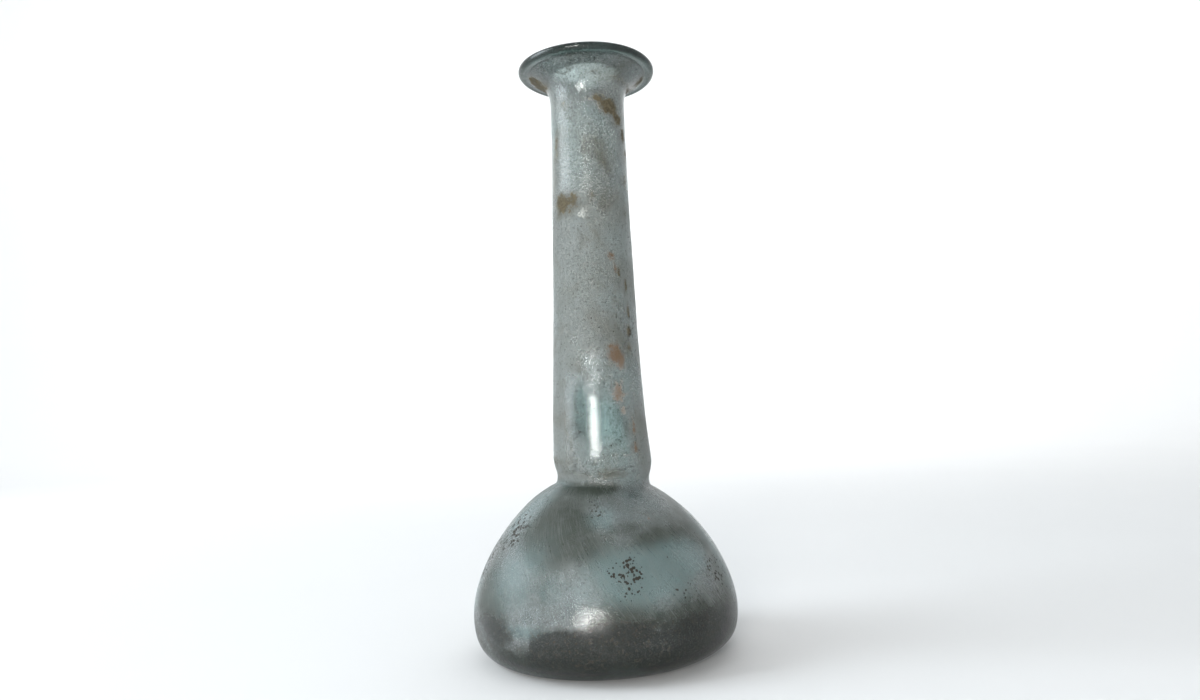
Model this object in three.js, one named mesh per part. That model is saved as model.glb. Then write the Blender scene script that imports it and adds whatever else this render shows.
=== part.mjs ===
// Unguentarium: a free-blown glass flask for scented oil, of the candlestick kind.
//
// It is one piece of glass and hollow all the way up: a bell-shaped body on a flat foot, a waist nipped in
// with the jacks, a long neck that narrows upward, and a lip folded over and flattened into a disc.
// Millimetres, +Z up. The foot stands on z = 0, and the flask's axis is x = y = 0.

import * as THREE from 'three';

const FACETS = 48; // round the axis

// Foot and heel
const FOOT_RADIUS = 26; // outer edge of the flat ring that the flask stands on
const FOOT_RING = 7; // width of that ring
const KICK_HEIGHT = 1.2; // how far the middle of the underside is pushed up
const HEEL_POWER = 2.3; // superellipse of the heel: 2 is an ellipse, more is squarer

// Body
const BELLY_RADIUS = 35.2;
const BELLY_HEIGHT = 11.2; // where the body is widest
const SHOULDER_RISE = 10.1; // how far the side goes on upright above the belly
const SHOULDER_RUN = 14.1; // length of the straight pull towards the waist
const SHOULDER_SLOPE = THREE.MathUtils.degToRad(27.5); // of the shoulder where it meets the waist

// Waist
const WAIST_RADIUS = 12.5; // at the bottom of the nip
const WAIST_HEIGHT = 45.1;
const WAIST_SPREAD = 1.1; // how much wider the body is where the nip begins
const WAIST_SOFTNESS = 1.5; // how far below the nip that is
const NIP_TURN = 0.9; // how gently the nip turns upright

// Neck
const NECK_FOOT_RADIUS = 13.4;
const NECK_FOOT_HEIGHT = 51; // where the neck is fullest, just over the waist
const NECK_FOOT_ROUND = 2.6; // how gently its foot rounds over
const NECK_RADIUS = 10.5; // of its straight upper part
const NECK_TAPER_TOP = 138; // where the taper ends
const NECK_TAPER_POWER = 1.6; // the taper slows as it climbs
const NECK_TOP = 149; // where the lip starts to flare

// Lip
const HEIGHT = 160;
const FLARE_RISE = 4.8; // how far the neck's side goes on upright into the flare
const FLARE_RUN = 5.1; // length of the straight pull at the underside's edge
const FLARE_SLOPE = THREE.MathUtils.degToRad(26.5); // of that pull
const LIP_RADIUS = 19.05;
const LIP_ROLL = 1.15; // half the thickness of its rounded edge
const LIP_ROLL_START = THREE.MathUtils.degToRad(-112); // where the round leaves the underside
const LIP_GROOVE = 0.17; // how far the underside sinks inside the edge
const LIP_FOLD_WIDTH = 6.2; // from the edge to where the fold ends on top
const LIP_DISH = 0.45; // how far the top sinks inside the edge
const MOUTH_RADIUS = 8.95;
const MOUTH_ROUND = 0.9;
const MOUTH_SINK = 0.6; // how far below the edge the mouth's round begins

// Thickness of the glass at stations up the wall: [height, thickness]
const WALL = [
  [0, 3.0], // floor
  [5, 2.4], // heel
  [BELLY_HEIGHT, 1.8],
  [30, 1.6], // shoulder
  [WAIST_HEIGHT, 2.2],
  [70, 1.8],
  [HEIGHT, 1.7],
];

// What makes it handmade. A span gives the heights where a change sets in, is full, begins to fade and is gone
const HEEL_SLACK = 3.4; // the heel sags in by this much on the +X side
const WAIST_TILT = THREE.MathUtils.degToRad(3); // the waist is this much lower on the +X side
const WAIST_TILT_SPAN = [32, 44, 47, 62];
const NECK_SHIFT = 0.6; // the neck's foot sits this far to +X of the axis
const NECK_SHIFT_SPAN = [32, 45, 46, 68];
const NECK_LEAN = 0.15; // and its top this far to -X
const NECK_LEAN_SPAN = [60, 100];
const LIP_TILT = THREE.MathUtils.degToRad(1); // the lip is this much lower on the +X side
const LIP_WARP = 0.5; // and bent like a saddle by this much
const LIP_SPAN = [NECK_TOP - 3, NECK_TOP + 6];

const point = (radius, height) => new THREE.Vector2(radius, height);
const { clamp, lerp, smoothstep } = THREE.MathUtils;

/** A run of points from start, with start itself left out, so that runs can be strung together. */
function run(steps, shape) {
  return Array.from({ length: steps }, (_, i) => shape((i + 1) / steps));
}

/** A run of points along a cubic curve. */
function sweep(steps, ...controls) {
  const curve = new THREE.CubicBezierCurve(...controls);
  return run(steps, (t) => curve.getPoint(t));
}

/** The underside: a shallow push-up inside the flat ring. */
function underside() {
  const edge = FOOT_RADIUS - FOOT_RING;
  const dome = (t) => point(edge * t, KICK_HEIGHT * Math.cos((Math.PI / 2) * t) ** 2);
  return [dome(0), ...run(3, dome), point(FOOT_RADIUS, 0)];
}

/** The heel: a quarter of a superellipse, from the foot round to the belly. */
function heel() {
  const reach = BELLY_RADIUS - FOOT_RADIUS;
  return run(7, (t) => {
    const angle = (Math.PI / 2) * t;
    const out = Math.sin(angle) ** (2 / HEEL_POWER);
    const up = 1 - Math.cos(angle) ** (2 / HEEL_POWER);
    return point(FOOT_RADIUS + reach * out, BELLY_HEIGHT * up);
  });
}

/** Where the shoulder ends and the nip of the waist begins, and the way that the side runs there. */
const WAIST_EDGE = point(WAIST_RADIUS + WAIST_SPREAD, WAIST_HEIGHT - WAIST_SOFTNESS);
const WAIST_WAY = point(-Math.cos(SHOULDER_SLOPE), Math.sin(SHOULDER_SLOPE));

/** The bell of the body, from the belly up to the waist. */
function shoulder() {
  const low = point(BELLY_RADIUS, BELLY_HEIGHT);
  const pull = WAIST_EDGE.clone().addScaledVector(WAIST_WAY, -SHOULDER_RUN);
  return sweep(9, low, point(low.x, low.y + SHOULDER_RISE), pull, WAIST_EDGE);
}

/** The nip between body and neck, and the fuller foot of the neck over it. */
function waist() {
  const turn = WAIST_EDGE.clone().addScaledVector(WAIST_WAY, NIP_TURN);
  const high = point(WAIST_RADIUS, WAIST_HEIGHT + NIP_TURN);
  const nip = sweep(4, WAIST_EDGE, turn, point(WAIST_RADIUS, WAIST_HEIGHT - NIP_TURN), high);
  const foot = point(NECK_FOOT_RADIUS, NECK_FOOT_HEIGHT);
  const round = point(foot.x, foot.y - NECK_FOOT_ROUND);
  const swell = sweep(4, high, point(high.x, high.y + NECK_FOOT_ROUND / 2), round, foot);
  return [...nip, ...swell];
}

/** The neck: a taper that slows as it climbs, then an upright stretch. */
function neck() {
  const taper = run(6, (t) => {
    const spread = (NECK_FOOT_RADIUS - NECK_RADIUS) * (1 - t) ** NECK_TAPER_POWER;
    return point(NECK_RADIUS + spread, lerp(NECK_FOOT_HEIGHT, NECK_TAPER_TOP, t));
  });
  return [...taper, point(NECK_RADIUS, NECK_TOP)];
}

/** The flare from the neck to the shallow groove inside the lip's edge. */
function flare() {
  const low = point(NECK_RADIUS, NECK_TOP);
  const groove = point(LIP_RADIUS - 2 * LIP_ROLL, HEIGHT - 2 * LIP_ROLL + LIP_GROOVE);
  const way = point(Math.cos(FLARE_SLOPE), Math.sin(FLARE_SLOPE));
  const pull = groove.clone().addScaledVector(way, -FLARE_RUN);
  return sweep(5, low, point(low.x, low.y + FLARE_RISE), pull, groove);
}

/** The folded lip: rounded edge, dished top, and the round of the mouth. */
function lip() {
  const roll = run(7, (t) => {
    const angle = lerp(LIP_ROLL_START, Math.PI / 2, t);
    const middle = point(LIP_RADIUS - LIP_ROLL, HEIGHT - LIP_ROLL);
    return middle.add(point(Math.cos(angle), Math.sin(angle)).multiplyScalar(LIP_ROLL));
  });
  const top = [
    point(LIP_RADIUS - LIP_FOLD_WIDTH / 2, HEIGHT - LIP_DISH),
    point(LIP_RADIUS - LIP_FOLD_WIDTH, HEIGHT - LIP_DISH),
    point(MOUTH_RADIUS + MOUTH_ROUND, HEIGHT - MOUTH_SINK),
  ];
  const mouth = run(3, (t) => {
    const angle = lerp(Math.PI / 2, Math.PI, t);
    const middle = point(MOUTH_RADIUS + MOUTH_ROUND, HEIGHT - MOUTH_SINK - MOUTH_ROUND);
    return middle.add(point(Math.cos(angle), Math.sin(angle)).multiplyScalar(MOUTH_ROUND));
  });
  return [...roll, ...top, ...mouth];
}

/** Thickness of the glass at a height, straight between the stations. */
function wallAt(height) {
  const next = Math.max(1, WALL.findIndex(([station]) => station >= height));
  const [[low, thin], [high, thick]] = [WALL[next - 1], WALL[next]];
  return lerp(thin, thick, clamp((height - low) / (high - low), 0, 1));
}

/** The inner wall: each point of the outer one moved in, square to the profile, by the wall's thickness. */
function lining(outer) {
  return outer.map((here, i) => {
    if (i === 0) return point(0, here.y + wallAt(here.y));
    const along = outer[Math.min(i + 1, outer.length - 1)].clone().sub(outer[i - 1]).normalize();
    return here.clone().addScaledVector(point(-along.y, along.x), wallAt(here.y));
  });
}

/** From 0 to 1 over the first two heights of a span, and back to 0 over the other two, if it has them. */
function within(height, [start, full, fade = Infinity, end = Infinity]) {
  const fading = fade === Infinity ? 0 : smoothstep(height, fade, end);
  return smoothstep(height, start, full) * (1 - fading);
}

/** Moves a point of the turned shape to where it is on this flask, which was blown and tooled by hand. */
function handmade(v) {
  const radius = Math.max(Math.hypot(v.x, v.y), 1e-6);
  const low = clamp(1 - v.z / BELLY_HEIGHT, 0, 1) ** 4;
  const slack = 1 - (HEEL_SLACK / FOOT_RADIUS) * low * (1 + v.x / radius) * 0.5;
  const shift = NECK_SHIFT * within(v.z, NECK_SHIFT_SPAN) - NECK_LEAN * within(v.z, NECK_LEAN_SPAN);
  const nip = Math.tan(WAIST_TILT) * v.x * within(v.z, WAIST_TILT_SPAN);
  const warp = (LIP_WARP * v.x * v.y) / radius ** 2;
  const bend = (Math.tan(LIP_TILT) * v.x + warp) * within(v.z, LIP_SPAN);
  v.set(v.x * slack + shift, v.y * slack, v.z - nip - bend);
}

/** The whole flask, turned round its axis and then made a little uneven. */
function flaskGeometry() {
  const outer = [...underside(), ...heel(), ...shoulder(), ...waist(), ...neck()];
  const profile = [...outer, ...flare(), ...lip(), ...lining(outer).reverse()];
  const geometry = new THREE.LatheGeometry(profile, FACETS);
  geometry.rotateX(Math.PI / 2);
  const places = geometry.getAttribute('position');
  const v = new THREE.Vector3();
  for (let i = 0; i < places.count; i += 1) {
    handmade(v.fromBufferAttribute(places, i));
    places.setXYZ(i, v.x, v.y, v.z);
  }
  geometry.computeVertexNormals();
  return geometry;
}

const glass = new THREE.MeshStandardMaterial({ color: 0xa9bab4, roughness: 0.22, metalness: 0 });

const flask = new THREE.Mesh(flaskGeometry(), glass);
flask.name = 'flask';

const unguentarium = new THREE.Group();
unguentarium.add(flask);

export default unguentarium;
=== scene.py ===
"""Weathered glass unguentarium: the blown flask, the soil inside it, and a pale stage to see it on."""

from itertools import combinations
from math import cos, pi, radians, sin, tan

import bpy
import numpy as np
from bpy.props import FloatProperty, FloatVectorProperty, IntProperty, PointerProperty
from mathutils import Euler, Matrix, Vector


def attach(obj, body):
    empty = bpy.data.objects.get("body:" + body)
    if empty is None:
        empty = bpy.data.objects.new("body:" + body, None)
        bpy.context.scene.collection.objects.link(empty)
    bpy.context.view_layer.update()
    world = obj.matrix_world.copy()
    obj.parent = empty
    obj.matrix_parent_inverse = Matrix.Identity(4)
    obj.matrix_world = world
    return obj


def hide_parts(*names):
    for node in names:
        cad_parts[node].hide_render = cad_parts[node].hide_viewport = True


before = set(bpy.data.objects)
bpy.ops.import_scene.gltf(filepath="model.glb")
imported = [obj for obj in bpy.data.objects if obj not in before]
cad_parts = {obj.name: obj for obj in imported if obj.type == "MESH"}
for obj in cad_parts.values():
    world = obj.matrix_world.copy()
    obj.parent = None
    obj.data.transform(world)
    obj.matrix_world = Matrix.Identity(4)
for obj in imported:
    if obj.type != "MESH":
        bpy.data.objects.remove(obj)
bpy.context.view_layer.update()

bl_info = {
    "name": "Weathered unguentarium",
    "version": (1, 0, 0),
    "blender": (4, 5, 0),
    "location": "View3D > Sidebar > Unguentarium",
    "description": "Builds a free-blown glass flask with its weathering, the soil in it and a pale stage",
    "category": "Object",
}

MM = 0.001
BODY = "root"
NODE = "flask"

# How the profile is drawn
HEEL_POWER = 2.3  # superellipse of the heel: 2 is an ellipse, more is squarer
SHOULDER_RISE = 10.1 * MM  # how far the side goes on upright above the belly
SHOULDER_RUN = 14.1 * MM  # length of the straight pull towards the waist
SHOULDER_SLOPE = radians(27.5)
WAIST_SPREAD = 1.1 * MM  # how much wider the body is where the nip begins
WAIST_SOFTNESS = 1.5 * MM  # how far below the nip that is
NIP_TURN = 0.9 * MM  # how gently the nip turns upright
NECK_FOOT_ROUND = 2.6 * MM  # how gently the neck's foot rounds over
NECK_TAPER_POWER = 1.6  # the taper slows as it climbs
FLARE_RISE = 4.8 * MM  # how far the neck's side goes on upright into the flare
FLARE_RUN = 5.1 * MM  # length of the straight pull at the underside's edge
FLARE_SLOPE = radians(26.5)
LIP_ROLL = 1.15 * MM  # half the thickness of the rounded edge
LIP_ROLL_START = radians(-112)  # where the round leaves the underside
LIP_GROOVE = 0.17 * MM  # how far the underside sinks inside the edge
MOUTH_ROUND = 0.9 * MM
MOUTH_SINK = 0.6 * MM  # how far below the edge the mouth's round begins

# Thickness of the glass at stations up the wall, in millimetres
WALL_LEVELS = (0, 5, 11.2, 30, 45.1, 70, 160)
WALL_THICKNESS = (3.0, 2.4, 1.8, 1.6, 2.2, 1.8, 1.7)

# What makes the flask handmade. A span gives the heights, in millimetres, where a change sets in, is full,
# begins to fade and is gone
HEEL_SLACK = 3.4 * MM  # the heel sags in by this much on the +X side
NECK_SHIFT, NECK_SHIFT_SPAN = 0.6 * MM, (32, 45, 46, 68)  # the neck's foot sits this far to +X
NECK_LEAN, NECK_LEAN_SPAN = 0.15 * MM, (60, 100)  # and its top this far to -X
WAIST_TILT, WAIST_TILT_SPAN = radians(3), (32, 44, 47, 62)  # the waist is lower on the +X side
LIP_TILT, LIP_WARP, LIP_SPAN = radians(1), 0.5 * MM, (146, 155)  # the lip too, and bent like a saddle

# Relief on the glass, in millimetres
WAVE_DEPTH, LUMP_DEPTH = 0.16, 0.05
TOOL_RING_DEPTH, LIP_RING_DEPTH, RING_SPACING = 0.045, 0.06, 2.6
LINING_WAVE, SOIL_RELIEF = 0.22, 0.22

SILT_REACH, SILT_LIMIT = 28.9 * MM, 30.4 * MM  # how far the silt runs out, on average and at most
SILT_GAP = 0.32 * MM  # between the silt and the smooth wall, which leaves room for the wall's relief


# --------------------------------------------------------------------------------------
# Sizes and colours that a user would change
# --------------------------------------------------------------------------------------


def length(name, description, default):
    """A size in metres."""
    return FloatProperty(name=name, description=description, default=default, unit="LENGTH", precision=5, min=0.0)


def colour(name, description, default):
    """A linear colour."""
    return FloatVectorProperty(
        name=name, description=description, default=default, subtype="COLOR", size=3, min=0.0, max=1.0
    )


class FlaskSettings(bpy.types.PropertyGroup):
    """The blown vessel: its profile and its glass."""

    foot_radius: length("Foot radius", "Outer edge of the flat ring it stands on", 26.0 * MM)
    foot_ring: length("Foot ring", "Width of that ring", 7.0 * MM)
    kick_height: length("Kick", "How far the middle of the underside is pushed up", 1.2 * MM)
    belly_radius: length("Belly radius", "Of the body where it is widest", 35.2 * MM)
    belly_height: length("Belly height", "Where the body is widest", 11.2 * MM)
    waist_radius: length("Waist radius", "At the bottom of the nip", 12.5 * MM)
    waist_height: length("Waist height", "Where the body is nipped in", 45.1 * MM)
    neck_foot_radius: length("Neck foot radius", "Where the neck is fullest", 13.4 * MM)
    neck_foot_height: length("Neck foot height", "Where the neck is fullest", 51.0 * MM)
    neck_radius: length("Neck radius", "Of its straight upper part", 10.5 * MM)
    neck_taper_top: length("Taper top", "Where the neck's taper ends", 138.0 * MM)
    neck_top: length("Neck top", "Where the lip starts to flare", 149.0 * MM)
    height: length("Height", "Of the whole flask", 160.0 * MM)
    lip_radius: length("Lip radius", "Of the folded disc", 19.05 * MM)
    mouth_radius: length("Mouth radius", "Of the opening in the lip", 8.95 * MM)
    around: IntProperty(name="Around", description="Facets round the axis", default=216, min=24, max=240)
    glass: colour("Glass", "Clean glass, seen along one wall", (0.68, 0.75, 0.76))
    bottle: colour("Thick glass", "Where it is thickest: the rolled lip and the heel", (0.015, 0.042, 0.033))
    depth_colour: colour("Glass in depth", "What light keeps on its way through thick glass", (0.46, 0.70, 0.66))
    depth_density: FloatProperty(
        name="Depth density", description="How fast thick glass darkens, per metre", default=260.0, min=0.0
    )
    milk: colour("Weathering", "The milky film of weathered glass", (0.250, 0.275, 0.262))
    # Colour of the body's lighter bluish patches: partly a thin film, partly painted light
    haze_and_painted_light: colour("Blue haze", "The thin bluish film on the body", (0.200, 0.295, 0.298))
    # Colour of the body's dark patches: partly dark weathering, partly painted shade
    tarnish_and_painted_shade: colour("Tarnish", "Dark weathering on the body", (0.034, 0.046, 0.030))
    crust: colour("White crust", "Lime crusts", (0.44, 0.45, 0.42))


class SoilSettings(bpy.types.PropertyGroup):
    """The soil that clings to the glass."""

    soil: colour("Soil", "Olive-brown soil on the glass", (0.046, 0.034, 0.012))
    rust: colour("Rust", "Orange-brown stains", (0.160, 0.070, 0.013))
    silt: colour("Silt", "Dark granular soil on the floor of the body", (0.020, 0.017, 0.012))
    silt_depth: length("Silt depth", "Of the soil on the floor of the body", 1.5 * MM)
    grain_size: length("Grain size", "Across one crumb of soil", 0.34 * MM)
    grains: IntProperty(name="Grains", description="Number of loose crumbs", default=900, min=0, max=5000)


class StageSettings(bpy.types.PropertyGroup):
    """The floor, the lights and the camera."""

    floor: colour("Floor", "Pale floor and its raised rim", (0.82, 0.82, 0.815))
    floor_radius: length("Floor radius", "Where the floor begins to rise", 1.05)
    key: FloatProperty(name="Front lamp", description="Power of the small front lamp", default=4.2, unit="POWER")
    window: FloatProperty(name="Window", description="Power of the large left lamp", default=9.0, unit="POWER")
    overhead: FloatProperty(name="Overhead", description="Power of the lamp above", default=3.5, unit="POWER")
    backdrop: FloatProperty(name="Backdrop", description="Power of the far wall's lamp", default=7.0, unit="POWER")
    ambient: FloatProperty(name="Ambient", description="Strength of the light all round", default=0.42, min=0.0)
    lens: FloatProperty(name="Lens", description="Focal length on a 36 mm film gate", default=24.9)
    pitch: FloatProperty(
        name="Pitch", description="How far the camera looks up", default=radians(4.48), subtype="ANGLE"
    )
    roll: FloatProperty(name="Roll", description="Turn of the picture", default=radians(-2.1), subtype="ANGLE")


# --------------------------------------------------------------------------------------
# Curves and fields
# --------------------------------------------------------------------------------------


def smooth(x, low, high):
    """0 below low, 1 above high, and 3t^2 - 2t^3 of the way t between them."""
    t = np.clip((np.asarray(x, float) - low) / (high - low), 0.0, 1.0)
    return t * t * (3.0 - 2.0 * t)


def within(x, start, full, fade=None, end=None):
    """Rises from 0 to 1 over the first two values, and falls back to 0 over the other two."""
    rise = smooth(x, start, full)
    return rise if fade is None else rise * (1.0 - smooth(x, fade, end))


def bezier(steps, a, b, c, d):
    """Cubic curve: the sum of its four points weighted (1-t)^3, 3t(1-t)^2, 3t^2(1-t) and t^3, without t = 0."""
    t = (np.arange(steps) + 1.0)[:, None] / steps
    a, b, c, d = (np.array(p, float) for p in (a, b, c, d))
    return a * (1 - t) ** 3 + 3 * b * t * (1 - t) ** 2 + 3 * c * t**2 * (1 - t) + d * t**3


def ripple(seed, count, finest, places):
    """Seeded noise of about -1 to 1: the mean of cosine waves with random ways, lengths and phases."""
    rng = np.random.default_rng(seed)
    ways = rng.normal(size=(count, 3))
    ways /= np.linalg.norm(ways, axis=1)[:, None]
    ways *= (2 * pi / finest) * rng.uniform(0.25, 1.0, size=(count, 1))
    waves = np.cos(places @ ways.T + rng.uniform(0, 2 * pi, count))
    return waves.sum(axis=-1) * (1.6 / np.sqrt(count))


def spots(turn, height, girth, marks):
    """The strongest of soft ovals: exp(-(across/width)^2 - (up/tall)^2) times its strength.

    Each mark is (azimuth in degrees from the front, height, half width, half height, strength), in mm."""
    total = np.zeros(np.broadcast(turn, height).shape)
    for azimuth, level, width, tall, strength in marks:
        gap = (turn - radians(azimuth) + pi) % (2 * pi) - pi
        across = gap * girth / (width * MM)
        up = (height - level * MM) / (tall * MM)
        total = np.maximum(total, strength * np.exp(-(across**2) - up**2))
    return total


# --------------------------------------------------------------------------------------
# The shape of the flask
# --------------------------------------------------------------------------------------


def wall_at(height):
    """Thickness of the glass at a height, straight between stations."""
    return np.interp(height, np.array(WALL_LEVELS) * MM, np.array(WALL_THICKNESS) * MM)


def outer_profile(s):
    """The flask's outer side as (radius, height) rows, from the middle of the underside to the lip's groove.

    A dome, a flat ring, a quarter superellipse, then cubic curves for shoulder, nip, swell and flare, with
    the neck's spread falling as the 1.6th power of what is left of its height."""
    edge = s.foot_radius - s.foot_ring
    t = np.linspace(0.0, 1.0, 15)
    dome = np.stack([edge * t, s.kick_height * np.cos(pi / 2 * t) ** 2], -1)
    t = np.linspace(0.0, 1.0, 6)[1:]
    ring = np.stack([edge + s.foot_ring * t, 0.0 * t], -1)
    t = np.linspace(0.0, 1.0, 27)[1:]
    out, up = np.sin(pi / 2 * t) ** (2 / HEEL_POWER), 1 - np.cos(pi / 2 * t) ** (2 / HEEL_POWER)
    reach = s.belly_radius - s.foot_radius
    heel = np.stack([s.foot_radius + reach * out, s.belly_height * up], -1)

    way = np.array([-cos(SHOULDER_SLOPE), sin(SHOULDER_SLOPE)])
    waist_edge = np.array([s.waist_radius + WAIST_SPREAD, s.waist_height - WAIST_SOFTNESS])
    low = (s.belly_radius, s.belly_height)
    side = (s.belly_radius, s.belly_height + SHOULDER_RISE)
    shoulder = bezier(46, low, side, waist_edge - way * SHOULDER_RUN, waist_edge)
    high = (s.waist_radius, s.waist_height + NIP_TURN)
    below = (s.waist_radius, s.waist_height - NIP_TURN)
    nip = bezier(11, waist_edge, waist_edge + way * NIP_TURN, below, high)
    foot = (s.neck_foot_radius, s.neck_foot_height)
    rise, fall = (high[0], high[1] + NECK_FOOT_ROUND / 2), (foot[0], foot[1] - NECK_FOOT_ROUND)
    swell = bezier(11, high, rise, fall, foot)
    t = np.linspace(0.0, 1.0, 67)[1:]
    spread = (s.neck_foot_radius - s.neck_radius) * (1 - t) ** NECK_TAPER_POWER
    climb = s.neck_foot_height + (s.neck_taper_top - s.neck_foot_height) * t
    taper = np.stack([s.neck_radius + spread, climb], -1)
    t = np.linspace(0.0, 1.0, 9)[1:]
    climb = s.neck_taper_top + (s.neck_top - s.neck_taper_top) * t
    upright = np.stack([s.neck_radius + 0 * t, climb], -1)
    way = np.array([cos(FLARE_SLOPE), sin(FLARE_SLOPE)])
    groove = np.array([s.lip_radius - 2 * LIP_ROLL, s.height - 2 * LIP_ROLL + LIP_GROOVE])
    start = (s.neck_radius, s.neck_top)
    flare = bezier(20, start, (s.neck_radius, s.neck_top + FLARE_RISE), groove - way * FLARE_RUN, groove)
    return np.concatenate([dome, ring, heel, shoulder, nip, swell, taper, upright, flare])


def lip_profile(s):
    """The folded lip: an arc for the rolled edge, a dished top and an arc into the mouth."""
    turn = LIP_ROLL_START + (pi / 2 - LIP_ROLL_START) * np.linspace(0, 1, 25)[1:]
    middle = np.array([s.lip_radius - LIP_ROLL, s.height - LIP_ROLL])
    edge = middle + LIP_ROLL * np.stack([np.cos(turn), np.sin(turn)], -1)
    # How far in from the top of the roll, and how far down, in millimetres
    dish = [
        (0.55, 0.07), (1.3, 0.28), (2.0, 0.42), (3.1, 0.45), (4.2, 0.45), (5.2, 0.45), (6.1, 0.47), (7.2, 0.52),
        (8.2, 0.58),
    ]
    top = np.array([s.lip_radius - LIP_ROLL, s.height]) - np.array(dish) * MM
    top = top[top[:, 0] > s.mouth_radius + MOUTH_ROUND + 0.05 * MM]
    turn = pi / 2 + pi / 2 * np.linspace(0, 1, 10)
    middle = np.array([s.mouth_radius + MOUTH_ROUND, s.height - MOUTH_SINK - MOUTH_ROUND])
    bore = middle + MOUTH_ROUND * np.stack([np.cos(turn), np.sin(turn)], -1)
    return np.concatenate([edge, top, bore])


def lining(outer):
    """The inner side: each point of the outer one moved in, square to the profile, by the wall's thickness."""
    along = np.empty_like(outer)
    along[1:-1] = outer[2:] - outer[:-2]
    along[0], along[-1] = (1.0, 0.0), outer[-1] - outer[-2]
    along /= np.linalg.norm(along, axis=1)[:, None]
    inward = np.stack([-along[:, 1], along[:, 0]], -1)
    return outer + inward * wall_at(outer[:, 1])[:, None]


def handmade(places, s):
    """Takes the turned shape to where it is on this flask, which was blown and tooled by hand.

    The heel sags in on the +X side, the waist tilts, the neck's foot sits off the axis and the lip is bent."""
    x, y, z = places[..., 0], places[..., 1], places[..., 2]
    radius = np.maximum(np.hypot(x, y), 1e-9)
    low = np.clip(1 - z / s.belly_height, 0, 1) ** 4
    slack = 1 - (HEEL_SLACK / s.foot_radius) * low * (1 + x / radius) * 0.5
    level = z / MM
    shift = NECK_SHIFT * within(level, *NECK_SHIFT_SPAN) - NECK_LEAN * within(level, *NECK_LEAN_SPAN)
    nip = tan(WAIST_TILT) * x * within(level, *WAIST_TILT_SPAN)
    warp = LIP_WARP * x * y / radius**2
    bend = (tan(LIP_TILT) * x + warp) * within(level, *LIP_SPAN)
    return np.stack([x * slack + shift, y * slack, z - nip - bend], -1)


def turned(profile, around):
    """The profile carried round the axis: (r sin a, -r cos a, z), with the seam at the back. Rows by columns."""
    turn = -pi + 2 * pi * np.arange(around) / around
    r, z = profile[:, 0][:, None], profile[:, 1][:, None]
    return turn, np.stack([r * np.sin(turn), -r * np.cos(turn), z + 0 * turn], -1)


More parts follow.
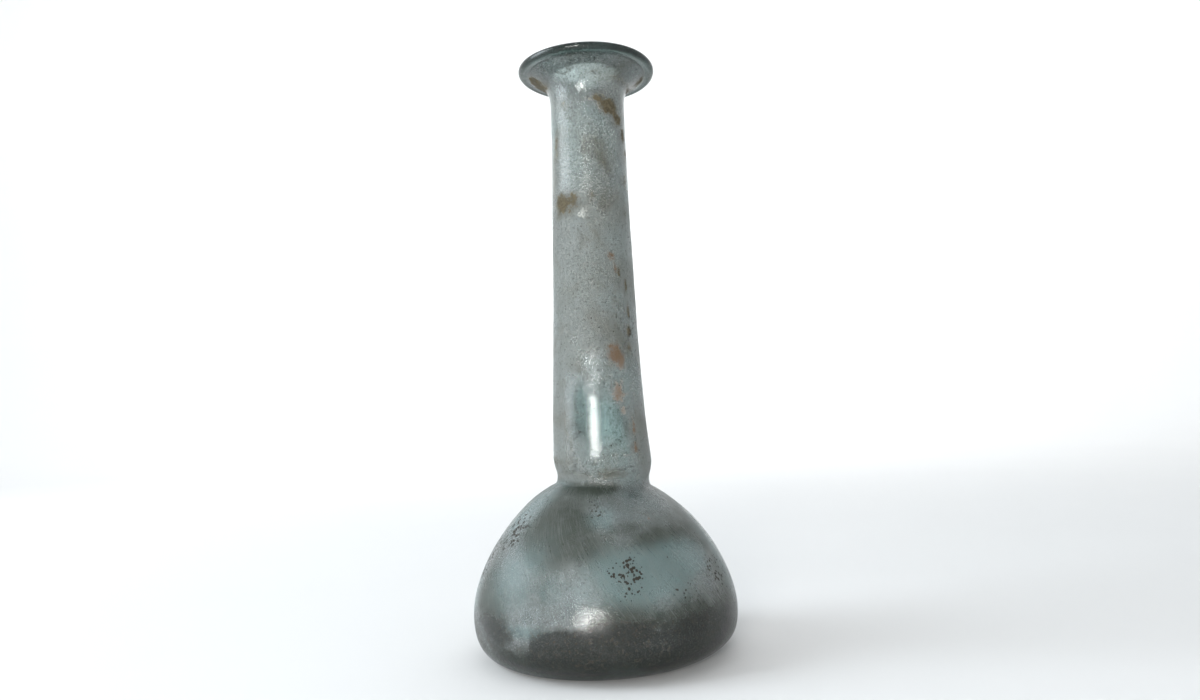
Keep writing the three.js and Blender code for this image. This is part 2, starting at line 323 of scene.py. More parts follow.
def flask_marks(turn, level, girth, inner, places):
    """Where each kind of weathering lies, from 0 to 1, for every point of the glass, together with the painted light
    and shade on the body.

    Each field is the strongest of its soft ovals, raised or cut by bands of height and by seeded ripples."""

    def ovals(*marks):
        """The soft ovals of one kind of mark."""
        return spots(turn, level, girth, marks)

    mm = level / MM
    front = np.cos(turn)
    slow = ripple(11, 26, 14 * MM, places)
    quick = ripple(12, 36, 4 * MM, places)
    neck = smooth(mm, 44.5, 47.0)
    body = 1 - neck
    glossy_top = smooth(mm + 3.5 * slow + 1.5 * quick, 119, 131)
    glossy_foot = 1.25 * within(mm + 2.5 * quick, 46, 50, 62, 88) * smooth(np.abs(front), 0.55, 0.95)

    # A frosted film, thinner near the lip and at the neck's foot, where the glass is also smooth
    film = neck * (0.80 + 0.26 * slow - 0.34 * glossy_top - 0.42 * glossy_foot)
    film = film - 0.5 * ovals((24, 60.5, 3.6, 6.5, 1), (28, 56.5, 3.2, 3.5, 0.9))
    film = film + body * (0.52 + 0.20 * slow + 0.06 * quick)
    film = film + 0.25 * ovals((-40, 104, 7, 16, 1), (-38, 75, 6, 16, 0.8))
    film = film + inner * 0.45 * smooth(mm, 149, 153) - 0.35 * ovals((-168, 16, 12, 12, 1))
    film = np.clip(film * np.where(inner, 0.60, 1.0), 0, 1)
    gloss = np.maximum(neck * np.maximum(0.9 * glossy_top, glossy_foot), smooth(mm, 150, 154) * 1.25)
    polished = ovals(
        (-168, 16, 12, 12, 1), (-6, 16, 5, 3.2, 1.6), (5, 22.5, 2.2, 1.8, 0.7), (-10, 24, 2, 6, 0.6),
        (-2, 45.5, 5, 1.2, 0.9),
    )
    gloss = np.maximum(gloss, polished)
    gloss = np.maximum(gloss, 0.55 * (1 - smooth(mm, 3.5, 8.0)))
    # The glass is thickest, and so darkest, in the rolled lip and round the heel
    rolled = smooth(mm, 156.6, 157.9) * smooth(girth / MM, 15.6, 17.2)
    bottle = np.maximum(rolled, 0.9 * (1 - smooth(mm, 2.5, 8.5)))
    bottle = np.maximum(bottle, 0.40 * smooth(mm, 152.5, 156.0) * (0.7 + 0.5 * slow))
    bottle = np.where(inner, 0.0, bottle)
    # Grime low on the body, darker towards the front right: partly silt dried against the glass, partly painted shade
    # for the dark ground reflected in the glass
    low = within(mm, 1.0, 5.0, 10, 19)
    grime_and_painted_shade = low * np.clip(0.62 + 0.42 * np.cos(turn - radians(35)) + 0.28 * slow, 0, 1.2)

    # Brown soil, mostly on the inside of the neck and under the lip
    soil = 1.15 * ovals(
        (36, 146, 4.2, 2.6, 1), (20, 148, 4, 1.7, 0.75), (52, 143, 2.4, 2.6, 0.85), (2, 147.5, 4, 1.4, 0.45),
        (66, 139, 1.6, 3.6, 0.8), (74, 134, 1.4, 3, 0.62), (-58, 136, 1.7, 5.5, 0.62), (-40, 147, 2.4, 2.6, 0.45),
        (-44, 120, 4.2, 3.6, 0.82), (-28, 120.5, 2.6, 2.8, 0.74), (-52, 117, 2.6, 2.4, 0.55), (2, 121, 1.9, 2.3, 0.62),
        (38, 100.5, 0.8, 2.2, 0.66), (50, 97, 0.8, 2.6, 0.78), (52, 90, 0.8, 3.6, 0.7), (50, 85, 1.2, 2.4, 0.86),
        (48, 80, 1.5, 1.8, 0.7), (60, 118, 1.8, 4, 0.48), (64, 126, 1.6, 3, 0.55), (-70, 50, 4, 1.8, 0.6),
        (0, 48, 9, 1.2, 0.42), (140, 130, 5, 9, 0.6), (-150, 112, 4, 8, 0.5), (165, 80, 3, 12, 0.5),
        (-120, 64, 4, 5, 0.55), (36, 92, 4.5, 15, 0.34), (-30, 118, 6, 3, 0.55), (8, 112, 4, 4, 0.36),
        (20, 132, 3, 6, 0.36), (-48, 92, 5, 8, 0.26), (0, 47.5, 14, 1.6, 0.4),
    )
    soil = np.maximum(soil, inner * 0.46 * smooth(mm, 148, 153))
    rim = within(mm, 151.5, 154.0, 157.3, 158.0) * np.where(inner, 0.0, 1.0)
    soil = np.maximum(soil, rim * np.clip(0.72 - 0.95 * front + 0.5 * slow, 0, 1) * 0.85)
    soil = np.maximum(soil, 0.42 * within(mm, 49, 53, 150, 154) * np.clip(0.25 + slow, 0, 1) * inner)

    rust = ovals(
        (28, 104.5, 1.3, 1.3, 1), (33, 101.5, 0.8, 1.6, 0.8), (30, 94, 0.7, 0.5, 0.7), (25, 78.5, 2.6, 3, 1),
        (33, 76.5, 2, 2.6, 0.85), (18, 79, 1.6, 1.6, 0.7), (26, 68.5, 2.3, 3.6, 0.85), (31, 64, 1.2, 2.6, 0.8),
        (44, 60, 0.8, 3.4, 0.75), (43, 54, 1, 1.8, 0.85), (30, 52.6, 2.4, 0.7, 0.6), (30, 37, 0.7, 0.7, 0.9),
        (150, 96, 2.2, 3.6, 0.7), (-130, 88, 1.8, 3, 0.7),
    )

    crust = ovals(
        (-12, 116.4, 2.2, 1.9, 1), (-3, 117.5, 1.6, 1.3, 0.7), (-4, 131, 1.9, 1.5, 0.55), (40, 138, 2.5, 4, 0.35),
        (-50, 100, 4.5, 14, 0.34), (55, 72, 2.6, 20, 0.36), (160, 152, 5, 2, 0.55),
    )
    # Two fine pale rings under the lip, where its edge was folded over
    fold = np.exp(-(((girth / MM - 16.95) / 0.22) ** 2)) + 0.8 * np.exp(-(((girth / MM - 14.6) / 0.25) ** 2))
    crust = np.maximum(crust, 0.85 * fold * smooth(mm, 153, 155) * np.where(inner, 0.0, 1.0))

    # The body is darker: tarnish and dark dirt in patches, and painted shade over the whole body and in a dark band
    # low down all round; between them lighter bluish patches, partly a thin haze and partly painted light
    patches = ovals(
        (-32, 33, 11, 6, 0.95), (-12, 31, 7, 4, 0.55), (14, 35, 5, 2.4, 0.75), (34, 32, 12, 2.4, 0.85),
        (58, 31, 10, 2.4, 0.75), (-5, 43.5, 16, 1.6, 0.6), (-30, 20, 9, 5, 0.55), (6, 14, 16, 4, 0.75),
        (30, 14.5, 14, 4.2, 0.9), (62, 14, 12, 5, 0.75), (-28, 13, 10, 3, 0.62), (0, 5, 90, 4.2, 0.95),
        (-58, 24, 11, 9, 0.8), (20, 40, 9, 3, 0.55), (150, 28, 18, 7, 0.8),
        (-140, 34, 14, 6, 0.75), (100, 22, 12, 6, 0.7),
    )
    tarnish_and_painted_shade = np.clip(patches * body + body * (0.34 + 0.22 * slow), 0, 1)
    # Lighter bluish patches: partly a thin film, partly painted light for the bright background seen through both
    # walls, and low on the left a painted reflection
    haze_and_painted_light = body * ovals(
        (18, 24.5, 14, 6, 1.5), (38, 27, 11, 4.4, 1.4), (0, 37.5, 4.5, 3.2, 0.75), (-22, 22, 7, 5, 0.55),
        (-34, 12.5, 9, 2.2, 0.9), (-66, 38, 7, 8, 0.85), (75, 26, 7, 12, 0.8), (-80, 16, 6, 7, 0.75),
        (120, 32, 14, 5, 0.7), (-160, 18, 16, 5, 0.7), (-45, 24, 12, 9, 0.75), (-5, 22, 10, 5, 0.6),
    )

    # Dark specks: on the left shoulder, in a cluster on the front, and low on the inside where silt clings
    grit = ovals(
        (10, 25, 4.5, 4.5, 1), (-62, 33, 6, 7, 0.9), (-78, 26, 5, 8, 0.8), (60, 22, 8, 6, 0.75),
        (-4, 39, 3.5, 2, 0.8), (36, 20, 6, 3, 0.6), (-25, 60, 3, 14, 0.45), (52, 86, 1.5, 4, 0.9),
        (170, 24, 14, 9, 0.8), (110, 30, 8, 6, 0.6),
    )
    grit = np.maximum(grit, inner * within(mm, 3, 6, 11, 17) * np.clip(0.80 + 0.45 * slow, 0, 1))
    return dict(
        film=film, soil=soil, rust=rust, crust=crust, tarnish_and_painted_shade=tarnish_and_painted_shade, haze_and_painted_light=haze_and_painted_light,
        grit=grit, neck=neck, gloss=gloss, bottle=bottle, grime_and_painted_shade=grime_and_painted_shade,
    )


def flask_grid(s):
    """Every point of the flask: the turned profile, made uneven, with relief pressed into the glass.

    Relief only ever takes glass away from the outer side: waves, tooling rings low on the neck, pits."""
    outer = outer_profile(s)
    lip = lip_profile(s)
    inner = lining(outer)[::-1]
    profile = np.concatenate([outer, lip, inner])
    steps = np.gradient(profile, axis=0)
    steps /= np.maximum(np.linalg.norm(steps, axis=1), 1e-9)[:, None]
    outward = np.stack([steps[:, 1], -steps[:, 0]], -1)
    turn, places = turned(profile, s.around)
    is_inner = (np.arange(len(profile)) >= len(outer) + len(lip) - 4)[:, None] & np.ones(s.around, bool)
    girth, level = profile[:, 0][:, None], profile[:, 1][:, None] + 0 * turn
    marks = flask_marks(turn, level, girth, is_inner, places)

    mm = level / MM
    waves = 0.5 + 0.5 * np.clip(ripple(21, 20, 26 * MM, places), -1, 1)
    lumps = 0.5 + 0.5 * np.clip(ripple(22, 30, 7 * MM, places), -1, 1)
    rings = 0.5 + 0.5 * np.cos(2 * pi * (mm + 0.35 * np.sin(turn)) / RING_SPACING)
    away = WAVE_DEPTH * waves * within(mm, 4, 9, 153, 156) + LUMP_DEPTH * lumps * within(mm, 3, 6, 153, 157)
    away = away + TOOL_RING_DEPTH * rings * within(mm, 46, 49, 57, 66)
    under_lip = within(mm, 151, 153, 157, 158) * (girth > s.neck_radius + 1.5 * MM)
    away = away + LIP_RING_DEPTH * rings * under_lip
    # On the inside the same waves stand the other way, and soil makes the wall thicker
    clods = smooth(marks["soil"], 0.3, 0.9) * (0.6 + 0.4 * ripple(23, 30, 1.6 * MM, places))
    thick = (LINING_WAVE * waves + SOIL_RELIEF * clods) * within(mm, 5, 9, 153, 156) * (girth > 4 * MM)
    offset = np.where(is_inner, thick, -away) * MM
    out, up = outward[:, 0][:, None], outward[:, 1][:, None]
    ways = np.stack([out * np.sin(turn), -out * np.cos(turn), up + 0 * turn], -1)
    return profile, turn, handmade(places + offset[..., None] * ways, s), marks, is_inner


# --------------------------------------------------------------------------------------
# Meshes
# --------------------------------------------------------------------------------------


def add_object(name, verts, faces, smooth_faces=True):
    """A new mesh object at the origin from points and faces."""
    mesh = bpy.data.meshes.new(name)
    mesh.from_pydata(verts.tolist(), [], faces)
    mesh.polygons.foreach_set("use_smooth", np.full(len(mesh.polygons), smooth_faces))
    mesh.update()
    made = bpy.data.objects.new(name, mesh)
    bpy.context.scene.collection.objects.link(made)
    return made


def add_values(made, name, values, kind="FLOAT"):
    """A value or vector for each point, for the materials to read."""
    layer = made.data.attributes.new(name, kind, "POINT")
    numbers = np.ascontiguousarray(values, np.float32).ravel()
    layer.data.foreach_set("value" if kind == "FLOAT" else "vector", numbers)


def closed_grid_faces(rows, columns):
    """Quads of a grid that closes round, with one pole before its first row and one after its last."""
    row, column = np.meshgrid(np.arange(rows - 1), np.arange(columns), indexing="ij")
    beside = (column + 1) % columns
    here, above = row * columns, (row + 1) * columns
    quads = np.stack([here + column, here + beside, above + beside, above + column], -1).reshape(-1, 4)
    low, high = rows * columns, rows * columns + 1
    step = np.arange(columns)
    after = (step + 1) % columns
    start = np.stack([np.full(columns, low), after, step], -1)
    last = (rows - 1) * columns
    end = np.stack([last + step, last + after, np.full(columns, high)], -1)
    return quads.tolist() + start.tolist() + end.tolist()


def grid_to_points(places):
    """The grid's first and last rows each shrink to one point, and the rest are listed row by row."""
    middle = places[1:-1].reshape(-1, places.shape[-1])
    return np.concatenate([middle, places[0].mean(0)[None], places[-1].mean(0)[None]])


def values_to_points(values):
    """The same for a value on every point of the grid."""
    return np.concatenate([values[1:-1].ravel(), [values[0].mean(), values[-1].mean()]])


def make_flask(s, material):
    """The whole vessel, one closed skin: outer side, lip and inner side."""
    profile, turn, places, marks, is_inner = flask_grid(s)
    faces = closed_grid_faces(len(profile) - 2, s.around)
    made = add_object("flask_glass", grid_to_points(places), faces)
    for name, values in marks.items():
        add_values(made, name, values_to_points(np.broadcast_to(values, places.shape[:2])))
    run = np.concatenate([[0], np.cumsum(np.linalg.norm(np.diff(profile, axis=0), axis=1))])[:, None]
    # Brush-like lines that radiate from the waist and slant: a turn that grows with the way along the profile
    slant = turn + run / (52 * MM)
    lay = np.stack([np.cos(slant) * 70, np.sin(slant) * 70, run / MM * 0.22 + 0 * turn], -1)
    add_values(made, "lay", grid_to_points(lay), "FLOAT_VECTOR")
    made.data.materials.append(material)
    return made


# --------------------------------------------------------------------------------------
# Materials
# --------------------------------------------------------------------------------------


class Shade:
    """Short names for the nodes that a material here needs."""

    def __init__(self, name):
        self.material = bpy.data.materials.new(name)
        self.material.use_nodes = True
        self.tree = self.material.node_tree
        self.shader = next(n for n in self.tree.nodes if n.type == "BSDF_PRINCIPLED")
        self.output = next(n for n in self.tree.nodes if n.type == "OUTPUT_MATERIAL")
        self.places = self.add("ShaderNodeTexCoord").outputs["Object"]

    def add(self, kind, **settings):
        """A node, with its settings."""
        node = self.tree.nodes.new(kind)
        for key, value in settings.items():
            setattr(node, key, value)
        return node

    def put(self, socket, value):
        """Links a socket, or sets its value."""
        if isinstance(value, bpy.types.NodeSocket):
            self.tree.links.new(value, socket)
        else:
            socket.default_value = (*value, 1.0) if isinstance(value, tuple) and len(value) == 3 else value

    def read(self, name):
        """A mark's field on the glass."""
        return self.add("ShaderNodeAttribute", attribute_name=name).outputs["Fac"]

    def read_way(self, name):
        """A vector on the glass."""
        return self.add("ShaderNodeAttribute", attribute_name=name).outputs["Vector"]

    def noise(self, scale, detail=3.0, rough=0.55, places=None, twist=0.0):
        """Cloudy noise from 0 to 1."""
        node = self.add("ShaderNodeTexNoise")
        self.put(node.inputs["Vector"], places or self.places)
        node.inputs["Scale"].default_value = scale
        node.inputs["Detail"].default_value = detail
        node.inputs["Roughness"].default_value = rough
        node.inputs["Distortion"].default_value = twist
        return node.outputs["Fac"]

    def stretched(self, upward):
        """Object coordinates with the height squeezed, so that a pattern on them is drawn out upright."""
        node = self.add("ShaderNodeMapping")
        self.put(node.inputs["Vector"], self.places)
        node.inputs["Scale"].default_value = (1.0, 1.0, upward)
        return node.outputs["Vector"]

    def cells(self, scale):
        """How far the nearest of many scattered points is."""
        node = self.add("ShaderNodeTexVoronoi")
        self.put(node.inputs["Vector"], self.places)
        node.inputs["Scale"].default_value = scale
        return node.outputs["Distance"]

    def math(self, kind, a, b=0.0, c=0.0, clamp=False):
        """One sum of up to three numbers."""
        node = self.add("ShaderNodeMath", operation=kind, use_clamp=clamp)
        for socket, value in zip(node.inputs, (a, b, c)):
            self.put(socket, value)
        return node.outputs[0]

    def step(self, value, low, high, to_low=0.0, to_high=1.0):
        """A soft step of a value between two levels."""
        node = self.add("ShaderNodeMapRange", interpolation_type="SMOOTHSTEP")
        self.put(node.inputs["Value"], value)
        limits = {"From Min": low, "From Max": high, "To Min": to_low, "To Max": to_high}
        for name, number in limits.items():
            self.put(node.inputs[name], number)
        return node.outputs["Result"]

    def mix(self, share, a, b):
        """Two numbers mixed."""
        node = self.add("ShaderNodeMix", data_type="FLOAT")
        self.put(node.inputs[0], share)
        self.put(node.inputs[2], a)
        self.put(node.inputs[3], b)
        return node.outputs[0]

    def blend(self, share, a, b):
        """Two colours mixed."""
        node = self.add("ShaderNodeMix", data_type="RGBA")
        self.put(node.inputs[0], share)
        self.put(node.inputs[6], a)
        self.put(node.inputs[7], b)
        return node.outputs[2]

    def bump(self, height, strength, distance, below=None):
        """Bumps of a height up to the distance, in metres, on top of those below."""
        node = self.add("ShaderNodeBump")
        self.put(node.inputs["Height"], height)
        node.inputs["Strength"].default_value = strength
        node.inputs["Distance"].default_value = distance
        if below is not None:
            self.put(node.inputs["Normal"], below)
        return node.outputs["Normal"]


# Tones that the marks break into
DUST, DARK_GRAIN, WARM_GREY = (0.42, 0.43, 0.405), (0.085, 0.090, 0.070), (0.175, 0.160, 0.120)
BRUSHED = (0.28, 0.31, 0.29)
# Near black and dark brown for the band low on the body: partly dried silt, partly painted shade
GRIME_AND_SHADE_DARK, GRIME_AND_SHADE_PALE = (0.004, 0.007, 0.005), (0.050, 0.043, 0.030)
STAIN, DRY_SOIL, SPECK = (0.100, 0.083, 0.038), (0.115, 0.090, 0.045), (0.022, 0.019, 0.012)
SILT_PALE, SILT_GREEN, SILT_GRAIN = (0.060, 0.047, 0.032), (0.035, 0.038, 0.028), (0.12, 0.105, 0.080)
CRUMB_PALE, CRUMB_FLECK = (0.21, 0.135, 0.06), (0.42, 0.36, 0.26)


def glass_material(s, dirt):
    """Weathered glass: clear green-blue glass under a pitted milky film, crusts and soil, and on the body patches of
    tarnish and haze mixed with painted shade and painted light.
    """
    m = Shade("weathered_glass")
    fine = m.noise(3600, 2.0, 0.6)
    small = m.noise(1500, 3.0, 0.6)
    middle = m.noise(420, 4.0, 0.6)
    broad = m.noise(95, 4.0, 0.6, twist=0.8)
    streak = m.noise(1.0, 3.0, 0.6, m.read_way("lay"))
    upright = m.noise(1100, 3.0, 0.6, m.stretched(0.06))

    ragged = m.math("ADD", m.math("MULTIPLY", small, 0.5), m.math("MULTIPLY", middle, 0.5))
    cloudy = m.math("ADD", m.math("MULTIPLY", middle, 0.35), m.math("MULTIPLY", broad, 0.65))

    def where(name, low, high, wild, pattern):
        """A mark's soft field broken up by noise and cut to a ragged edge."""
        field = m.math("MULTIPLY_ADD", m.math("SUBTRACT", pattern, 0.5), wild, m.read(name))
        return m.step(field, low, high)

    neck = m.read("neck")
    film = m.math("MULTIPLY_ADD", m.math("SUBTRACT", ragged, 0.5), 0.95, m.read("film"))
    film = m.math("MULTIPLY_ADD", m.math("SUBTRACT", upright, 0.5), m.math("MULTIPLY", neck, 0.55), film)
    not_neck = m.math("SUBTRACT", 1.0, neck)
    film = m.math("MULTIPLY_ADD", m.math("SUBTRACT", streak, 0.5), not_neck, film, clamp=True)
    tarnish_and_painted_shade = where("tarnish_and_painted_shade", 0.10, 1.05, 1.15, cloudy)
    haze_and_painted_light = where("haze_and_painted_light", 0.05, 0.95, 0.95, cloudy)
    grime_and_painted_shade = where("grime_and_painted_shade", 0.12, 0.70, 1.05, ragged)
    bottle = m.read("bottle")
    gloss = m.math("MULTIPLY_ADD", m.math("SUBTRACT", ragged, 0.5), 0.9, m.read("gloss"), clamp=True)
    stain = where("soil", 0.10, 0.75, 1.20, cloudy)
    soil = where("soil", 0.50, 0.80, 1.70, ragged)
    rust = where("rust", 0.22, 0.86, 2.1, ragged)
    crust = where("crust", 0.62, 0.86, 2.6, m.noise(1900, 2.0, 0.6))
    speck_cells = m.cells(1150)
    speck_size = m.math("MULTIPLY", m.read("grit"), m.step(middle, 0.34, 0.58))
    speck = m.step(m.math("SUBTRACT", m.math("MULTIPLY", speck_size, 0.82), speck_cells), 0.0, 0.10)
    few_cells = m.cells(430)
    few = m.step(m.math("SUBTRACT", 0.10, few_cells), 0.0, 0.03)
    speck = m.math("MAXIMUM", speck, m.math("MULTIPLY", few, m.step(broad, 0.42, 0.60)))

    colour = m.blend(film, tuple(s.glass), tuple(s.milk))
    grainy = m.noise(2100, 3.0, 0.7)
    dust = m.math("MULTIPLY", m.step(grainy, 0.48, 0.62), film)
    dust = m.math("MULTIPLY", dust, m.math("MULTIPLY_ADD", neck, 0.6, 0.4))
    colour = m.blend(m.math("MULTIPLY", dust, 0.75), colour, DUST)
    colour = m.blend(m.math("MULTIPLY", m.step(small, 0.46, 0.34), 0.70), colour, DARK_GRAIN)
    colour = m.blend(m.math("MULTIPLY", m.step(broad, 0.46, 0.70), 0.45), colour, WARM_GREY)
    # Dark patches and bands on the body: partly tarnish and dirt, partly painted shade
    colour = m.blend(m.math("MULTIPLY", tarnish_and_painted_shade, 0.94), colour, tuple(s.tarnish_and_painted_shade))
    # Lighter bluish patches: partly a thin film, partly painted light and a painted reflection
    colour = m.blend(m.math("MULTIPLY", haze_and_painted_light, 0.80), colour, tuple(s.haze_and_painted_light))
    lines = m.math("MULTIPLY", m.step(streak, 0.50, 0.66), not_neck)
    colour = m.blend(m.math("MULTIPLY", lines, 0.35), colour, BRUSHED)
    colour = m.blend(m.math("MULTIPLY", bottle, 0.90), colour, tuple(s.bottle))
    # Low on the body: dried silt mixed with painted shade, near black to dark brown
    grime_and_shade_tone = m.blend(m.step(small, 0.52, 0.66), GRIME_AND_SHADE_DARK, GRIME_AND_SHADE_PALE)
    colour = m.blend(m.math("MULTIPLY", grime_and_painted_shade, 0.95), colour, grime_and_shade_tone)
    colour = m.blend(m.math("MULTIPLY", stain, 0.55), colour, STAIN)
    colour = m.blend(m.math("MULTIPLY", rust, 0.78), colour, tuple(dirt.rust))
    soil_tone = m.blend(m.step(small, 0.42, 0.62), tuple(dirt.soil), DRY_SOIL)
    colour = m.blend(m.math("MULTIPLY", soil, 0.90), colour, soil_tone)
    colour = m.blend(m.math("MULTIPLY", crust, 0.85), colour, tuple(s.crust))
    colour = m.blend(speck, colour, SPECK)

    clear = m.mix(film, 0.95, 0.58)
    clear = m.mix(dust, clear, 0.40)
    clear = m.mix(tarnish_and_painted_shade, clear, 0.50)
    clear = m.mix(haze_and_painted_light, clear, 0.45)
    clear = m.mix(bottle, clear, 0.85)
    left = ((grime_and_painted_shade, 0.25), (stain, 0.55), (rust, 0.30), (soil, 0.12), (crust, 0.15), (speck, 0.04))
    for mark, share in left:
        clear = m.mix(mark, clear, share)

    rough = m.mix(film, 0.10, 0.42)
    rough = m.mix(grime_and_painted_shade, rough, 0.24)
    rough = m.mix(m.step(fine, 0.58, 0.70), rough, 0.45)
    rough = m.mix(gloss, rough, 0.06)
    for mark, value in ((rust, 0.50), (soil, 0.80), (crust, 0.75), (speck, 0.70)):
        rough = m.mix(mark, rough, value)

    matt = m.math("SUBTRACT", 1.0, m.math("MULTIPLY", gloss, 0.85))
    pits = m.math("MULTIPLY_ADD", middle, 0.6, m.step(fine, 0.35, 0.70))
    normal = m.bump(m.math("MULTIPLY", pits, matt), 0.60, 0.00013)
    dimples = m.math("MULTIPLY", m.step(m.cells(2600), 0.10, 0.45), matt)
    normal = m.bump(dimples, 0.35, 0.00006, normal)
    along = m.mix(neck, streak, upright)
    normal = m.bump(m.math("MULTIPLY", along, m.math("ADD", film, 0.15)), 0.45, 0.00014, normal)
    relief = m.math("MAXIMUM", soil, m.math("MAXIMUM", crust, speck))
    normal = m.bump(m.math("MULTIPLY", relief, m.math("ADD", small, 0.3)), 0.6, 0.00022, normal)

    shader = m.shader
    m.put(shader.inputs["Base Color"], colour)
    m.put(shader.inputs["Roughness"], rough)
    m.put(shader.inputs["Transmission Weight"], clear)
    m.put(shader.inputs["Normal"], normal)
    shader.inputs["IOR"].default_value = 1.5
    shader.inputs["Specular IOR Level"].default_value = 0.40
    depth = m.add("ShaderNodeVolumeAbsorption")
    depth.inputs["Color"].default_value = (*s.depth_colour, 1.0)
    depth.inputs["Density"].default_value = s.depth_density
    m.tree.links.new(depth.outputs["Volume"], m.output.inputs["Volume"])
    return m.material


def silt_material(dirt):
    """Dark granular soil: near black between the grains, brown and grey on them."""
    m = Shade("dry_silt")
    grains = m.cells(1500)
    coarse = m.noise(900, 4.0, 0.65)
    broad = m.noise(160, 3.0, 0.6)
    colour = m.blend(m.step(coarse, 0.40, 0.68), tuple(dirt.silt), SILT_PALE)
    colour = m.blend(m.math("MULTIPLY", m.step(broad, 0.45, 0.70), 0.5), colour, SILT_GREEN)
    colour = m.blend(m.step(grains, 0.02, 0.26, 0.45, 0.0), colour, SILT_GRAIN)
    m.put(m.shader.inputs["Base Color"], colour)
    m.put(m.shader.inputs["Roughness"], m.step(coarse, 0.3, 0.7, 0.72, 0.95))
    normal = m.bump(m.math("SUBTRACT", 1.0, grains), 0.9, 0.00035)
    m.put(m.shader.inputs["Normal"], m.bump(coarse, 0.7, 0.00030, normal))
    m.shader.inputs["Specular IOR Level"].default_value = 0.25
    return m.material


def crumb_material(dirt):
    """Loose crumbs of soil, olive to rust brown."""
    m = Shade("soil_crumb")
    tone = m.noise(260, 3.0, 0.6)
    fleck = m.noise(4200, 2.0, 0.6)
    colour = m.blend(m.step(tone, 0.42, 0.60), tuple(dirt.soil), CRUMB_PALE)
    colour = m.blend(m.math("MULTIPLY", m.step(fleck, 0.5, 0.7), 0.5), colour, CRUMB_FLECK)
    m.put(m.shader.inputs["Base Color"], colour)
    m.put(m.shader.inputs["Roughness"], m.step(fleck, 0.3, 0.7, 0.75, 0.95))
    m.put(m.shader.inputs["Normal"], m.bump(fleck, 0.6, 0.00008))
    m.shader.inputs["Specular IOR Level"].default_value = 0.25
    return m.material


def floor_material(settings):
    """Plain pale board with a barely visible unevenness."""
    m = Shade("pale_floor")
    tone = m.noise(9.0, 3.0, 0.5)
    pale = tuple(settings.floor)
    darker = tuple(c * 0.97 for c in pale)
    m.put(m.shader.inputs["Base Color"], m.blend(m.step(tone, 0.3, 0.7, 0.0, 0.25), pale, darker))
    m.shader.inputs["Roughness"].default_value = 0.85
    m.shader.inputs["Specular IOR Level"].default_value = 0.2
    return m.material


# --------------------------------------------------------------------------------------
# Soil meshes
# --------------------------------------------------------------------------------------


def make_silt(s, dirt, material):
    """The soil on the floor of the body: a lens whose top is heaped in grains, just above the glass.

    On a polar grid, the underside follows the inner wall and the top stands over it by depth times
    1 - (r/R)^4, with lumps and grains added; R wanders with the turn."""
    wall = lining(outer_profile(s))
    widest = int(np.argmax(wall[:, 0]))
    rings, around = 84, 240
    turn = -pi + 2 * pi * np.arange(around) / around
    circle = np.stack([np.sin(turn), -np.cos(turn), 0 * turn], -1)
    heaped = np.cos(turn - radians(35))  # the soil lies deeper on this side
    reach = SILT_REACH + 0.9 * MM * ripple(31, 14, 22 * MM, circle * 20 * MM) + 1.2 * MM * heaped
    reach = np.minimum(reach, SILT_LIMIT)
    share_out = np.linspace(0, 1, rings) ** 0.8
    r = share_out[:, None] * reach
    floor = np.interp(r, wall[:widest, 0], wall[:widest, 1]) + SILT_GAP
    flat = np.stack([r * np.sin(turn), -r * np.cos(turn), 0 * r], -1)
    crown = 1 - share_out[:, None] ** 5
    heap = 0.55 + 0.30 * ripple(32, 24, 16 * MM, flat) + 0.20 * heaped * share_out[:, None]
    grain = 0.22 * ripple(33, 48, 2.6 * MM, flat) + 0.16 * ripple(34, 60, 1.1 * MM, flat)
    deep = dirt.silt_depth * np.clip(heap + grain, 0.12, 1.3) * crown
    top = np.stack([flat[..., 0], flat[..., 1], floor + deep], -1)
    under = np.stack([flat[..., 0], flat[..., 1], floor], -1)
    grid = np.concatenate([under, top[-2::-1]])
    faces = closed_grid_faces(len(grid) - 2, around)
    made = add_object("silt_bed", grid_to_points(handmade(grid, s)), faces)
    made.data.materials.append(material)
    return made


def crumb_shape():
    """A solid with 20 sides: corners at (0, 1, golden ratio) with every sign and turned axes, on the unit sphere.

    Its faces are the trios of corners that are each other's nearest, wound to point outwards."""
    golden = (1 + 5**0.5) / 2
    corner = np.array([(0, a, b * golden) for a in (-1, 1) for b in (-1, 1)])
    corner = np.concatenate([corner, corner[:, [2, 0, 1]], corner[:, [1, 2, 0]]]) / np.hypot(1, golden)
    near = np.linalg.norm(corner[:, None] - corner[None], axis=-1)
    edge = np.partition(near[0], 1)[1] * 1.01
    trios = [t for t in combinations(range(12), 3) if all(near[a, b] < edge for a, b in combinations(t, 2))]
    trios = [t if np.linalg.det(corner[list(t)]) > 0 else (t[0], t[2], t[1]) for t in trios]
    return corner, np.array(trios)


